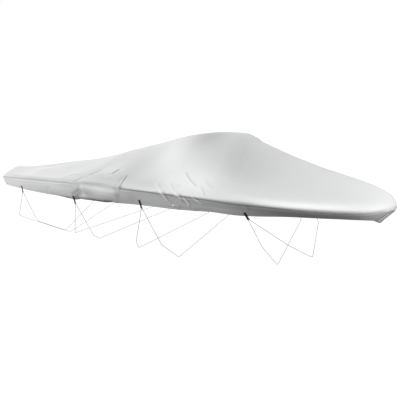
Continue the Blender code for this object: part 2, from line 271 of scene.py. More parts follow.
def make_cloth_finish(name, low_colour, high_colour):
    """Coated polyester: a plain weave, slack ripples and a soft silver sheen, with painted light and shade
    in its colour.

    The weave's height is sin(pi u / WEAVE_THREAD) * sin(pi v / WEAVE_THREAD).
    """
    finish = new_finish(name, high_colour, 0.46, (("Specular IOR Level", 0.42), ("Sheen Weight", 0.08),
                                                  ("Sheen Roughness", 0.55)))
    ripples = noise(finish, 5.0, 2.0, stretch=(1.0, 0.35, 0.35), turn=0.5)
    cockle = noise(finish, 26.0, 3.0)
    threads = [wave(finish, part, 2.0 * WEAVE_THREAD) for part in uv_parts(finish)]
    set_bumps(finish, (ripples, 0.012, 0.30), (cockle, 0.0012, 0.15),
              (maths(finish, "MULTIPLY", *threads), 0.0001, 0.45))
    # Painted light and shade: soft painted patches, painted shade in creases and along the hem's seam, and
    # painted highlights on ridges, added to the coating's small real unevenness of tone.
    fading, grime = (node(finish, "Attribute", attribute_name=mark).outputs["Fac"]
                     for mark in ("fading", "grime"))
    mottle_and_painted_light = maths(finish, "MULTIPLY_ADD", maths(finish, "SUBTRACT", cockle, 0.5), MOTTLE, fading)
    tone = maths(finish, "SUBTRACT", mottle_and_painted_light, grime)
    share = maths(finish, "MULTIPLY_ADD", tone, 1.0 - TONE_LOW, TONE_LOW)
    set_colour(finish, low_colour, high_colour, share)
    set_roughness(finish, 0.40, 0.56, ripples)
    return finish


def make_yarn_finish(name, roughness, sockets, colours, wear, pattern, bump):
    """Webbing, cord or thread: wear mixes its colours and roughness, and pattern is its relief.

    wear is a noise's scale and detail. pattern makes a height from the UV map's two coordinates, and
    without one the wear is the relief. bump is its distance and strength.
    """
    base, low, high = colours
    finish = new_finish(name, base, roughness[0], sockets)
    wear = noise(finish, *wear)
    set_bumps(finish, (pattern(finish, *uv_parts(finish)) if pattern else wear, *bump))
    set_colour(finish, low, high, wear)
    if roughness[1:]:
        set_roughness(finish, *roughness[1:], wear)
    return finish


def make_thread_finish(name, low, high):
    """Sewing thread, uneven in tone."""
    return make_yarn_finish(name, (0.5,), (), (high, low, high), (700.0, 1.0), None, (0.0001, 0.5))


def herringbone_ribs(finish, across, along):
    """Slanted ribs: sin(2 pi (along + 0.6 z) / RIB), where z zigzags across from 0 to HERRINGBONE."""
    zigzag = maths(finish, "PINGPONG", across, HERRINGBONE)
    return wave(finish, maths(finish, "MULTIPLY_ADD", zigzag, 0.6, along), RIB)


def twisted_yarns(finish, around, along):
    """Yarns twisted the other way from a cord's strands: sin(2 pi (along - 1.6 around) / YARN)."""
    return wave(finish, maths(finish, "MULTIPLY_ADD", around, -1.6, along), YARN)


# ---- tie cords
CORD = 0.005  # diameter
HULL_BEND = 0.05  # length of a cord's turn at chine and keel, on each side
BEND_POINTS = 6
STRANDS = 3
STRAND_LAY = 0.026  # length in which a strand goes once round
STRAND_DEPTH = 0.18  # depth of the grooves between strands, as a share of the radius
RING_STEP = 0.0045
RING_POINTS = 12

# Each cord's name and its bends to starboard: below its tab's foot, at the chine and at the keel. The
# port half mirrors them.
CORDS = (
    ("cord_1_aft", (0.479, -0.960, 0.908), (0.14, -0.837, 0.473), (0.16, 0.0, 0.010)),
    ("cord_1_fore", (0.486, -0.960, 0.908), (0.65, -0.875, 0.467), (0.30, 0.0, 0.010)),
    ("cord_2_aft", (1.680, -1.009, 0.892), (1.52, -0.911, 0.465), (0.42, 0.0, 0.010)),
    ("cord_2_fore", (1.687, -1.009, 0.892), (1.88, -0.913, 0.470), (1.00, 0.0, 0.010)),
    ("cord_3_aft", (2.824, -1.009, 0.977), (2.62, -0.895, 0.495), (1.87, 0.0, 0.010)),
    ("cord_3_fore", (2.831, -1.009, 0.978), (3.00, -0.869, 0.518), (2.63, 0.0, 0.010)),
    ("cord_4_aft", (4.119, -0.846, 0.992), (4.20, -0.646, 0.649), (4.14, 0.0, 0.210)),
    ("cord_4_fore", (4.126, -0.845, 0.995), (4.46, -0.558, 0.691), (4.57, 0.0, 0.396)),
)

TIGHT_CORD = 0.0042  # diameter of a cord drawn tight in a knot or through a tab's fold
TIGHT_RING_POINTS = 8
KNOT_SIZE = 0.0042  # half-width of the knot's centreline
KNOT_RUN = 2.4  # length of that line for each radian, as a share of KNOT_SIZE
KNOT_RINGS = 72
KNOT_DROPS = (0.008, 0.004)  # from a cord's start to its knot: aft cords, fore cords


def hull_route(foot, chine, keel):
    """A cord's line from a starboard tab's foot, round the chine, under the keel and up to port.

    Each bend is a quadratic curve that starts HULL_BEND before its corner.
    """
    corners = np.array((foot, chine, keel))
    corners = np.concatenate((corners, corners[1::-1] * (1.0, -1.0, 1.0)))
    route = [corners[0]]
    t = np.linspace(0.0, 1.0, BEND_POINTS)[:, None]
    for before, corner, after in zip(corners, corners[1:], corners[2:]):
        start, end = (corner + unit(other - corner) * HULL_BEND for other in (before, after))
        route.extend(start * (1.0 - t) ** 2 + corner * (2.0 * t * (1.0 - t)) + end * t * t)
    return np.array(route + [corners[-1]])


def tube(centre, run, radius, ring_points, groove=0.0, closed_ends=False):
    """Rings round a line of points, and their UV map: lengths round the tube and run along it.

    A ring's point is the centre plus radius * (1 - groove) * (side * cos(angle) + over * sin(angle)),
    and groove holds one value a point, or one for all. Closed ends shrink to their centres.
    """
    ahead = unit(np.gradient(centre, axis=0))
    side = unit(np.cross(ahead, np.array((0.12, 0.18, 0.97))))
    over = np.cross(side, ahead)
    angle = full_turn(ring_points)
    reach = radius * (1.0 - groove) + np.zeros((len(centre), ring_points + 1))
    if closed_ends:
        reach[0] = reach[-1] = 0.0
    ring = side[:, None] * np.cos(angle)[:, None] + over[:, None] * np.sin(angle)[:, None]
    grid = (centre[:, None] + ring * reach[..., None])[:, ::-1]
    return grid, np.stack(np.broadcast_arrays(angle[::-1] * radius, run[:, None]), axis=-1)


def make_cord(name, foot, chine, keel, finish):
    """One tie cord as a laid rope, along its route's whole length.

    Its radius is CORD / 2 * (1 - STRAND_DEPTH * (1 - cos(STRANDS * angle - turn)) / 2), where turn
    grows by a full circle in each STRAND_LAY.
    """
    route = hull_route(foot, chine, keel)
    run = run_along(route)
    length = float(run[-1])
    at = np.linspace(0.0, length, int(length / RING_STEP))
    angle = full_turn(RING_POINTS)
    turn = 2.0 * np.pi * at / STRAND_LAY
    groove = STRAND_DEPTH * (1.0 - np.cos(STRANDS * angle - turn[:, None])) / 2.0
    grid, uv = tube(at_runs(route, run, at), at, CORD / 2.0, RING_POINTS, groove, closed_ends=True)
    cord = place_piece(grid_piece(name + "_rope", [grid], [uv], finish), "cord", name)


def make_knots(finish):
    """A small overhand knot round the start and end of every cord, drawn up under the tab's foot.

    Its line is the trefoil (sin t + 2 sin 2t, cos t - 2 cos 2t, -1.4 sin 3t), scaled and turned so
    that its hole is on the cord.
    """
    t = full_turn(KNOT_RINGS)
    trefoil = np.stack((np.sin(t) + 2.0 * np.sin(2.0 * t), np.cos(t) - 2.0 * np.cos(2.0 * t),
                        -1.4 * np.sin(3.0 * t)), axis=-1) * KNOT_SIZE / 3.0
    knots = []
    for number, (_, foot, chine, _) in enumerate(CORDS):
        for side in (1.0, -1.0):
            foot_at, chine_at = np.array((foot, chine)) * (1.0, side, 1.0)
            down = unit(chine_at - foot_at)
            across = unit(np.cross(down, np.array((0.3, 1.0, 0.2))))
            line = trefoil @ np.stack((across, np.cross(across, down), down))
            line += foot_at + down * KNOT_DROPS[number % 2]
            knots.append(tube(line, t * KNOT_SIZE * KNOT_RUN, TIGHT_CORD / 2.0, TIGHT_RING_POINTS))
    place_piece(grid_piece("cord_knots", *zip(*knots), finish), "cord")


# ---- shape of the cover
LENGTH = 5.40  # transom fold to nose
HALF_BEAM = 1.072  # widest half-width at the gunwale fold
WIDEST_AT = 0.44  # share of the length where the cover is widest
TRANSOM_SHARE = 0.889  # transom half-width as a share of HALF_BEAM
BOW_FULLNESS = 2.6  # how long the sides stay full before they close on the bow
BOW_ROUNDING = 1.9  # 1 is a pointed nose, larger is rounder
NOSE_AT = 0.9995  # share of the length where the sides stop at the narrow nose
STEM_RAKE = 0.13  # how far the hem is aft of the fold at the stem
STEM_RAKE_POWER = 8  # how quickly that rake fades aft
TRANSOM_RAKE = 0.03  # how far the hem is forward of the fold at the transom
TRANSOM_RAKE_POWER = 20  # how quickly that rake fades forward
NOSE_ROUND = 0.040  # radius of the top's turn down at the nose
CLOTH = 0.0014  # cloth thickness, coating included
HEM = 0.026  # height of the turned-up hem
HEM_STEP = 0.0011  # how far the doubled hem stands out
HEM_FROM = 0.72  # share of the skirt's columns above the hem
STERN_ROUND = 0.010  # radius of the fold over the transom

# along: share of LENGTH; sheer: height of the gunwale fold; rise: ridge above it; shoulder: share of
# the half-beam at half the rise; sharp: how fast the shoulder falls; edge: radius of the fold; drop:
# fold to hem; tuck: the hem's half-width as a share of the fold's; slack: how far the skirt hangs out.
SECTION_COLUMNS = ("along", "sheer", "rise", "shoulder", "sharp", "edge", "drop", "tuck", "slack")
SECTIONS = (
    (0.000, 1.105, 0.096, 0.93, 14.0, 0.012, 0.130, 0.975, 0.000),
    (0.060, 1.121, 0.085, 0.84, 7.0, 0.012, 0.156, 0.973, 0.004),
    (0.150, 1.146, 0.155, 0.78, 4.5, 0.012, 0.190, 0.965, 0.008),
    (0.250, 1.169, 0.228, 0.72, 3.2, 0.012, 0.215, 0.960, 0.010),
    (0.310, 1.184, 0.285, 0.70, 3.0, 0.012, 0.239, 0.958, 0.010),
    (0.350, 1.195, 0.335, 0.68, 2.8, 0.012, 0.236, 0.957, 0.014),
    (0.410, 1.203, 0.408, 0.67, 2.6, 0.012, 0.235, 0.956, 0.012),
    (0.450, 1.206, 0.457, 0.66, 2.6, 0.012, 0.213, 0.955, 0.010),
    (0.540, 1.208, 0.571, 0.64, 2.6, 0.012, 0.190, 0.952, 0.004),
    (0.610, 1.206, 0.617, 0.62, 2.6, 0.012, 0.183, 0.950, 0.000),
    (0.670, 1.198, 0.624, 0.60, 2.6, 0.012, 0.162, 0.945, 0.000),
    (0.695, 1.193, 0.591, 0.58, 2.5, 0.012, 0.153, 0.940, 0.000),
    (0.710, 1.188, 0.546, 0.58, 2.4, 0.012, 0.151, 0.939, 0.000),
    (0.730, 1.184, 0.507, 0.58, 2.4, 0.012, 0.151, 0.938, 0.000),
    (0.780, 1.175, 0.415, 0.62, 2.3, 0.013, 0.138, 0.930, 0.000),
    (0.840, 1.160, 0.322, 0.70, 2.3, 0.017, 0.110, 0.915, 0.000),
    (0.900, 1.142, 0.254, 0.80, 2.4, 0.022, 0.101, 0.880, 0.008),
    (0.925, 1.133, 0.228, 0.84, 2.5, 0.023, 0.099, 0.863, 0.010),
    (0.950, 1.127, 0.194, 0.90, 2.6, 0.023, 0.106, 0.840, 0.010),
    (0.962, 1.127, 0.170, 0.95, 2.7, 0.023, 0.114, 0.825, 0.010),
    (0.980, 1.128, 0.127, 1.00, 2.8, 0.022, 0.131, 0.800, 0.008),
    (0.992, 1.122, 0.092, 1.00, 2.9, 0.018, 0.149, 0.785, 0.004),
    (1.000, 1.140, 0.030, 1.00, 3.0, 0.014, 0.207, 0.780, 0.000),
)

# Broad folds: side (-1 starboard, 1 port, 0 both), x and below at both ends, height (negative in a
# trough) and half-width. below is the distance down the cloth from the gunwale fold, negative on top.
FOLDS = (
    (-1, 0.0, -0.26, 0.6, -0.28, 0.03, 0.15),  # raised corner over the transom
    (-1, 0.0, -0.06, 0.25, -0.06, 0.012, 0.06),
    (0, 0.0, -0.95, 0.3, -0.95, -0.014, 0.35),  # sunken middle over the transom
    (1, 0.0, -0.36, 0.6, -0.36, -0.015, 0.3),  # sunken corner over the transom
    (0, 1.48, -0.18, 1.95, -0.7, 0.012, 0.15),  # edge of the flat stern
    (0, 2.42, -0.78, 3.0, -0.3, -0.018, 0.18),  # hollow behind the hump
    (0, 3.2, -0.7, 4.05, -0.13, 0.026, 0.2),  # corner post of the windscreen
    (-1, 1.93, 0.055, 2.46, 0.068, 0.024, 0.06),  # billow of the skirt
    (-1, 1.76, 0.19, 1.86, 0.13, -0.02, 0.055),  # hollow forward of the second tab
    (-1, 2.42, -0.2, 2.5, 0.0, -0.01, 0.035),  # pull down to the fold
    (-1, 1.22, 0.215, 1.6, 0.234, -0.01, 0.028),  # hem turned under
    (-1, 1.78, 0.236, 2.38, 0.216, -0.018, 0.03),
    (-1, 1.4, -0.06, 1.62, -0.42, -0.005, 0.045),
    (-1, 1.72, -0.01, 1.92, -0.45, -0.006, 0.05),
    (-1, 2.14, -0.28, 2.24, -0.42, -0.005, 0.04),
    (-1, 2.98, -0.16, 3.34, 0.14, 0.008, 0.035),
    (-1, 3.14, -0.18, 3.54, 0.14, 0.008, 0.035),
    (-1, 3.18, -0.4, 3.52, -0.15, -0.006, 0.05),
    (1, 0.9, -0.3, 1.1, -0.06, -0.006, 0.05),
    (1, 1.72, -0.01, 1.95, -0.48, -0.006, 0.05),
    (1, 1.95, 0.05, 2.4, 0.06, 0.02, 0.055),
    (1, 1.7, 0.236, 2.4, 0.216, -0.012, 0.03),
    (1, 2.45, -0.22, 2.56, 0.01, -0.01, 0.04),
    (1, 3.1, -0.18, 3.48, 0.14, 0.008, 0.035),
    (1, 3.3, -0.42, 3.6, -0.14, -0.006, 0.05),
)

# Sharp creases: side, points (x, below) along the crease, height, half-width and lip, which is the
# opposite bend beside it as a share of its height: on its left, or, when negative, on its right.
CREASES = (
    (-1, ((0.96, -0.25), (1.07, -0.32)), -0.003, 0.013, 0.6),
    (-1, ((1.14, -0.4), (1.23, -0.47)), -0.005, 0.012, 0.8),
    (-1, ((1.385, -0.06), (1.425, -0.13), (1.475, -0.19), (1.62, -0.25)), -0.01, 0.013, 0.7),
    (-1, ((1.715, -0.005), (1.703, -0.105), (1.71, -0.2)), -0.006, 0.011, 0.4),
    (-1, ((1.76, -0.215), (1.834, -0.305), (1.905, -0.38)), -0.006, 0.011, 0.6),
    (-1, ((2.135, -0.285), (2.195, -0.395)), -0.009, 0.012, -1.1),
    (-1, ((2.42, -0.29), (2.467, -0.15), (2.528, -0.015)), -0.009, 0.011, 0.7),
    (-1, ((2.5, -0.035), (2.59, 0.005)), -0.01, 0.018, 0.0),
    (-1, ((1.64, 0.18), (1.739, 0.125), (1.85, 0.075)), -0.005, 0.013, 0.4),
    (-1, ((1.1, 0.125), (1.24, 0.075)), -0.003, 0.022, 0.0),
    (-1, ((3.1, -0.04), (3.187, 0.014), (3.219, 0.059), (3.268, 0.122), (3.34, 0.135)),
     0.014, 0.0085, -0.4),
    (-1, ((2.96, -0.165), (3.06, -0.085), (3.135, -0.015)), 0.004, 0.009, -0.9),
    (-1, ((3.3, -0.024), (3.384, 0.006), (3.416, 0.041)), 0.013, 0.008, -0.5),
    (-1, ((3.13, -0.18), (3.22, -0.1), (3.3, -0.024)), 0.004, 0.009, -0.9),
    (-1, ((3.42, 0.0), (3.471, 0.048), (3.5, 0.12)), 0.01, 0.008, -0.5),
    (-1, ((3.41, 0.05), (3.475, 0.092)), -0.007, 0.011, 0.0),
    (-1, ((3.253, -0.172), (3.299, -0.128)), -0.003, 0.011, 0.5),
    (-1, ((3.53, -0.003), (3.609, 0.04), (3.665, 0.07)), 0.008, 0.008, -0.7),
    (-1, ((3.223, -0.365), (3.351, -0.266), (3.505, -0.165)), -0.008, 0.009, 0.7),
    (-1, ((3.53, -0.19), (3.607, -0.113), (3.68, -0.025)), -0.005, 0.009, 0.5),
    (-1, ((3.54, -0.265), (3.71, -0.148)), -0.003, 0.013, 0.5),
    (-1, ((4.13, 0.0), (4.17, 0.069)), -0.004, 0.015, 0.5),
    (-1, ((-0.1, 0.002), (0.8, 0.002), (1.68, 0.004)), -0.006, 0.009, 0.3),
    (-1, ((2.52, 0.01), (3.4, 0.009), (5.35, 0.003)), -0.006, 0.01, 0.3),
    (1, ((1.02, -0.28), (1.14, -0.36)), -0.003, 0.015, 0.6),
    (1, ((1.5, -0.06), (1.62, -0.3)), -0.004, 0.016, 0.5),
    (1, ((1.78, -0.01), (1.8, -0.2), (1.94, -0.44)), -0.006, 0.016, 0.5),
    (1, ((2.48, -0.24), (2.56, -0.1), (2.6, 0.03)), -0.009, 0.016, 0.4),
    (1, ((3.02, -0.1), (3.2, 0.02), (3.34, 0.12)), 0.011, 0.013, -0.8),
    (1, ((3.26, -0.4), (3.42, -0.28), (3.58, -0.16)), -0.006, 0.017, 0.6),
    (1, ((-0.1, 0.004), (1.3, 0.005), (5.35, 0.003)), -0.006, 0.01, 0.3),
)

CREASE_END = 0.06  # longest fade at a crease's end
LIP_AWAY = 1.7  # from a crease to its lip, in half-widths
CREASE_DARKEST_DEPTH = 0.008  # depth at which a crease gets its darkest painted shade
CREASE_PAINTED_SHADE = 0.30  # the most by which that painted shade darkens the coating
TOP_RIDGE_HIGHLIGHT, SKIRT_RIDGE_HIGHLIGHT = 0.5, 1.6  # the most painted highlight on ridges, on the top and on the skirt, as shares of the creases' greatest painted shade
HEM_PAINTED_SHADE = 0.10  # and the painted shade along the hem's seam
PLAIN = 0.5  # tone of cloth with no painted light or shade

# Soft patches of light and shade painted into the coating's colour: side, x, below, reach along, reach
# down, and amount, a painted highlight above 0 and painted shade below it.
PAINTED_LIGHT_PATCHES = (
    (0, 0.35, -0.6, 0.6, 0.5, 0.1),
    (-1, 1.35, 0.07, 0.32, 0.06, 0.16),
    (-1, 1.38, 0.222, 0.28, 0.022, -0.95),
    (0, 2.15, -0.15, 0.55, 0.2, -0.2),
    (0, 2.1, -0.02, 0.38, 0.028, -0.34),
    (-1, 2.3, 0.1, 0.24, 0.08, 0.46),
    (-1, 2.7, 0.11, 0.16, 0.09, -0.17),
    (-1, 2.54, 0.004, 0.045, 0.026, -0.2),
    (-1, 2.2, 0.22, 0.42, 0.026, -0.95),
    (-1, 2.37, 0.165, 0.17, 0.05, -0.26),
    (-1, 2.14, 0.085, 0.13, 0.035, 0.14),
    (0, 2.42, -0.4, 0.26, 0.28, -0.11),
    (0, 2.82, -0.62, 0.22, 0.24, 0.14),
    (-1, 2.85, 0.012, 0.4, 0.014, -0.13),
    (-1, 2.9, 0.1, 0.42, 0.12, 0.1),
    (-1, 2.92, -0.14, 0.24, 0.11, -0.12),
    (-1, 2.1, -0.36, 0.2, 0.12, 0.1),
    (0, 3.24, -0.86, 0.28, 0.24, -0.33),
    (0, 3.08, -0.48, 0.28, 0.32, 0.16),
    (0, 3.48, -0.25, 0.34, 0.22, 0.24),
    (0, 3.8, -0.5, 0.38, 0.3, -0.14),
    (-1, 3.75, 0.1, 0.3, 0.03, 0.14),
    (-1, 4.05, 0.085, 0.22, 0.04, 0.16),
    (-1, 4.1, 0.012, 0.55, 0.014, -0.25),
    (0, 4.62, -0.06, 0.5, 0.065, 0.34),
    (0, 5.25, 0.06, 0.14, 0.08, 0.62),
    (0, 5.05, -0.004, 0.42, 0.022, -0.36),
    (-1, 4.55, 0.07, 0.68, 0.07, -0.38),
    (-1, 0.85, 0.0, 0.85, 0.012, -0.2),
    (-1, 0.95, -0.045, 0.85, 0.045, -0.26),
    (-1, 3.2, 0.015, 0.45, 0.016, -0.25),
)

STERN_ROWS = 4  # rows round the fold over the transom
ROW_BANDS = (  # rows along the length, closer where creases are: from, to, number
    (0.00, 0.24, 44),
    (0.24, 0.36, 66),
    (0.36, 0.43, 24),
    (0.43, 0.48, 38),
    (0.48, 0.57, 30),
    (0.57, 0.69, 124),
    (0.69, 0.78, 30),
    (0.78, 0.90, 26),
)
BOW_ROWS = 40  # rows from the last band to the nose
BOW_CROWDING = 1.9  # how much closer those rows are near the nose
STARBOARD_TOP = ((0.0, 0.55, 11), (0.55, 1.0, 25))  # columns of the flat half: from, to, count
PORT_TOP = ((0.0, 0.55, 7), (0.55, 1.0, 11))
EDGE_COLUMNS = 6
SKIRT_COLUMNS = 17  # columns from the fold to the hem, on each side
SKIRT_CROWDING = 1.4  # how much closer those columns are near the fold
HEM_COLUMNS = 5
SIDE_COLUMNS = SKIRT_COLUMNS + HEM_COLUMNS - 2  # columns of a side below its fold


def section(name, along):
    """One column of SECTIONS at any share of the length, on a cubic through its rows.

    Its slope at a row is the weighted mean of the slopes on both sides, or zero at a turning point,
    and at most three times the smaller of them, so that it never overshoots.
    """
    knots, values = np.array([(row[0], row[SECTION_COLUMNS.index(name)]) for row in SECTIONS]).T
    step = np.diff(knots)
    chord = np.diff(values) / step
    before, after = chord[:-1], chord[1:]
    mean = (before * step[1:] + after * step[:-1]) / (step[1:] + step[:-1])
    limit = 3.0 * np.minimum(np.abs(before), np.abs(after))
    slope = np.where(before * after > 0.0, np.clip(mean, -limit, limit), 0.0)
    slope = np.concatenate((chord[:1], slope, chord[-1:]))
    along = np.clip(along, 0.0, 1.0)
    i = np.clip(np.searchsorted(knots, along, side="right") - 1, 0, len(step) - 1)
    t = (along - knots[i]) / step[i]
    s = 1.0 - t
    return (s * s * ((1.0 + 2.0 * t) * values[i] + t * step[i] * slope[i])
            + t * t * ((3.0 - 2.0 * t) * values[i + 1] - s * step[i] * slope[i + 1]))


def half_beam(along):
    """Half-width at the gunwale fold.

    Aft of WIDEST_AT it is a parabola. Forward of it, at a share s of the way to the nose, it is the
    super-ellipse HALF_BEAM * (1 - s^BOW_FULLNESS)^(1 / BOW_ROUNDING).
    """
    along = np.asarray(along, dtype=float)
    aft = 1.0 - (1.0 - TRANSOM_SHARE) * ((WIDEST_AT - along) / WIDEST_AT) ** 2
    share = np.clip((along - WIDEST_AT) / (1.0 - WIDEST_AT), 0.0, 1.0)
    fore = (1.0 - share ** BOW_FULLNESS) ** (1.0 / BOW_ROUNDING)
    return HALF_BEAM * np.where(along < WIDEST_AT, aft, fore)


def crown(along, share):
    """Height above the fold at a share of the half-beam.

    It follows the bell 1 / (1 + (share / shoulder)^sharp), scaled to be rise in the middle and 0 at
    the fold.
    """
    shoulder = section("shoulder", along)
    sharp = section("sharp", along)
    bell = 1.0 / (1.0 + (np.abs(share) / shoulder) ** sharp)
    foot = 1.0 / (1.0 + (1.0 / shoulder) ** sharp)
    return section("rise", along) * (bell - foot) / (1.0 - foot)


def bare_cloth(along, across):
    """A point of the cloth before its folds, and how far down the cloth from the fold it is.

    across is 0 at the centreline, 1 where the flat top ends, 2 at the gunwale fold and 3 at the hem's
    edge, negative to starboard. From 1 to 2 it turns a quarter circle of radius edge. From 2 it falls
    to the hem, hanging out by 4 * slack * d * (1 - d) at a share d of the way, and its last HEM takes
    the columns past HEM_FROM. Over the last NOSE_ROUND the top sinks by a quarter circle too.
    """
    side = np.sign(across)
    reach = np.abs(across)
    beam = half_beam(along)
    edge = np.minimum(section("edge", along), beam / 2.0)
    flat = np.clip(reach, 0.0, 1.0)
    turn = np.clip(reach - 1.0, 0.0, 1.0) * np.pi / 2.0
    top_y = (beam - edge) * flat + edge * np.sin(turn)
    into_nose = np.clip((along - NOSE_AT) * LENGTH + NOSE_ROUND, 0.0, NOSE_ROUND)
    sink = NOSE_ROUND - np.sqrt(NOSE_ROUND ** 2 - into_nose ** 2)
    top_z = section("sheer", along) + crown(along, top_y / beam) - edge * (1.0 - np.cos(turn)) - sink
    fall = section("drop", along) - edge - sink
    in_y = beam * (section("tuck", along) - 1.0)
    length = np.hypot(fall, in_y)
    column = np.clip(reach - 2.0, 0.0, 1.0)
    hem_share = HEM / length
    above_hem = np.minimum(column / HEM_FROM, 1.0) * (1.0 - hem_share)
    down = above_hem + np.clip((column - HEM_FROM) / (1.0 - HEM_FROM), 0.0, 1.0) * hem_share
    rake = TRANSOM_RAKE * (1.0 - along) ** TRANSOM_RAKE_POWER - STEM_RAKE * along ** STEM_RAKE_POWER
    x = along * LENGTH + rake * down
    y = side * (top_y + in_y * down + 4.0 * section("slack", along) * down * (1.0 - down))
    z = top_z - fall * down
    below = np.where(reach < 2.0, top_y - beam, length * down)
    return np.stack((x, y, z), axis=-1), below


def from_segment(x, below, start, step):
    """How far along a segment, as a share, and how far from it the points (x, below) are."""
    dx, db = x - start[0], below - start[1]
    share = np.clip((dx * step[0] + db * step[1]) / np.dot(step, step), 0.0, 1.0)
    return share, np.hypot(dx - share * step[0], db - share * step[1])


def fold_height(side, x, below):
    """How far the broad folds lift the cloth: the sum of height * exp(-(distance / width)^2)."""
    lift = np.zeros_like(x)
    for fold_side, x1, b1, x2, b2, height, width in FOLDS:
        away = from_segment(x, below, (x1, b1), (x2 - x1, b2 - b1))[1]
        ours = (side == fold_side) | (fold_side == 0)
        lift += np.where(ours, height * np.exp(-(away / width) ** 2), 0.0)
    return lift


def crease_height(side, x, below):
    """How far the sharp creases lift the cloth.

    Across its line, with s towards its lip, a crease is height * (exp(-(s / w)^2) - |lip| * exp(-(s / w -
    LIP_AWAY)^2)). By smoothstep it fades at both ends over CREASE_END, or a fifth of its length.
    """
    lift = np.zeros_like(x)
    for crease_side, points, height, width, lip in CREASES:
        points = np.array(points)
        starts = run_along(points)
        nearest, signed, along = np.full_like(x, np.inf), np.zeros_like(x), np.zeros_like(x)
        for start, step, run_before, run_after in zip(points, np.diff(points, axis=0), starts, starts[1:]):
            share, away = from_segment(x, below, start, step)
            left = np.sign(step[0] * (below - start[1]) - step[1] * (x - start[0]))
            closer = away < nearest
            signed = np.where(closer, away * left, signed)
            along = np.where(closer, run_before + share * (run_after - run_before), along)
            nearest = np.minimum(nearest, away)
        reach = min(CREASE_END, 0.2 * starts[-1])
        ends = smoothstep(0.0, reach, along) * smoothstep(0.0, reach, starts[-1] - along)
        bell = np.exp(-(signed / width) ** 2)
        lipped = np.exp(-((signed - np.sign(lip) * LIP_AWAY * width) / width) ** 2) * abs(lip)
        lift += np.where(side == crease_side, height * (bell - lipped) * ends, 0.0)
    return lift


def painted_tone(side, x, below):
    """Tone of the coating with its painted light and shade: PLAIN plus amount * exp(-(dx / reach)^2 - (db /
    reach)^2) for every painted patch.
    """
    tone = np.full_like(x, PLAIN)
    for shade_side, at, down, reach_x, reach_b, amount in PAINTED_LIGHT_PATCHES:
        bell = np.exp(-((x - at) / reach_x) ** 2 - ((below - down) / reach_b) ** 2)
        tone += np.where((side == shade_side) | (shade_side == 0), amount * bell, 0.0)
    return tone


def surface(along, across):
    """The cloth's outer face with folds, creases and its doubled hem, on any regular grid.

    Returns points, normals of the bare cloth, and two tones of painted light and shade: soft patches,
    and the creases' and the hem seam's. Near the transom the cloth sinks by the drop of a quarter circle
    of STERN_ROUND, which rounds that fold. The second is painted shade, positive, in creases and at the
    hem's seam; it is painted highlight, negative, on ridges, and there smaller on the top than on the
    skirt.
    """
    bare, below = bare_cloth(along, across)
    normals = grid_normals(bare)
    x, side, reach, seam = bare[..., 0], np.sign(across), np.abs(across), 2.0 + HEM_FROM
    crease = crease_height(side, x, below)
    lift = fold_height(side, x, below) + crease + HEM_STEP * smoothstep(seam - 0.01, seam + 0.05, reach)
    short = np.clip(STERN_ROUND - x, 0.0, STERN_ROUND)
    sink = STERN_ROUND - np.sqrt(STERN_ROUND ** 2 - short ** 2)
    # Painted shade in creases and along the hem's seam, and painted highlight on ridges, taken off the
    # coating's tone.
    ridge_highlight_limit = TOP_RIDGE_HIGHLIGHT + (SKIRT_RIDGE_HIGHLIGHT - TOP_RIDGE_HIGHLIGHT) * smoothstep(-0.02, 0.02, below)
    grime = CREASE_PAINTED_SHADE * np.clip(-crease / CREASE_DARKEST_DEPTH, -ridge_highlight_limit, 1.0)
    grime += HEM_PAINTED_SHADE * smoothstep(seam + 0.04, seam, reach) * smoothstep(seam - 0.10, seam, reach)
    return bare + normals * (lift - sink)[..., None], normals, painted_tone(side, x, below), grime


def spread(bands):
    """Values from the first band's start to the last band's end, even within each band."""
    parts = [np.linspace(start, end, count, endpoint=False) for start, end, count in bands]
    return np.concatenate(parts + [[bands[-1][1]]])


def cloth_rows():
    """Shares of the length: round the stern's fold, then bands, then closing up on the nose.

    Near the nose the distance still to go falls as (1 - t)^BOW_CROWDING.
    """
    turn = np.linspace(0.0, np.pi / 2.0, STERN_ROWS)
    stern = STERN_ROUND / LENGTH * (1.0 - np.cos(turn))
    even = spread(ROW_BANDS)
    fine = NOSE_AT - (NOSE_AT - even[-1]) * (1.0 - np.linspace(0.0, 1.0, BOW_ROWS)) ** BOW_CROWDING
    return np.concatenate((stern, even[even > stern[-1]], fine[1:]))


def cloth_columns():
    """Values of across from hem to hem, closer to starboard and near the fold."""
    edge = 1.0 + np.linspace(0.0, 1.0, EDGE_COLUMNS)[1:]
    skirt = 2.0 + HEM_FROM * np.linspace(0.0, 1.0, SKIRT_COLUMNS)[1:] ** SKIRT_CROWDING
    hem = 2.0 + np.linspace(HEM_FROM, 1.0, HEM_COLUMNS)[1:]
    below = np.concatenate((edge, skirt, hem))
    return np.concatenate((-below[::-1], -spread(STARBOARD_TOP)[:0:-1], spread(PORT_TOP), below))


def end_skirt(row):
    """The skirt across one end, between the two sides' skirts, which set its outline.

    A point is the top's plus both sides' ways down, mixed by its place across; its height falls from
    the top's to the hem's by the same share of the way.
    """
    top, starboard, port = row[SIDE_COLUMNS:-SIDE_COLUMNS], row[SIDE_COLUMNS::-1], row[-SIDE_COLUMNS - 1:]
    share = ((top[:, 1] - top[0, 1]) / (top[-1, 1] - top[0, 1]))[:, None]
    way = (1.0 - share) * (starboard - starboard[0])[:, None] + share * (port - port[0])[:, None]
    points = top + way
    hem = (1.0 - share[:, 0]) * starboard[-1, 2] + share[:, 0] * port[-1, 2]
    points[..., 2] = top[:, 2] + (hem - top[:, 2]) * way[..., 2] / way[-1:, :, 2]
    return points


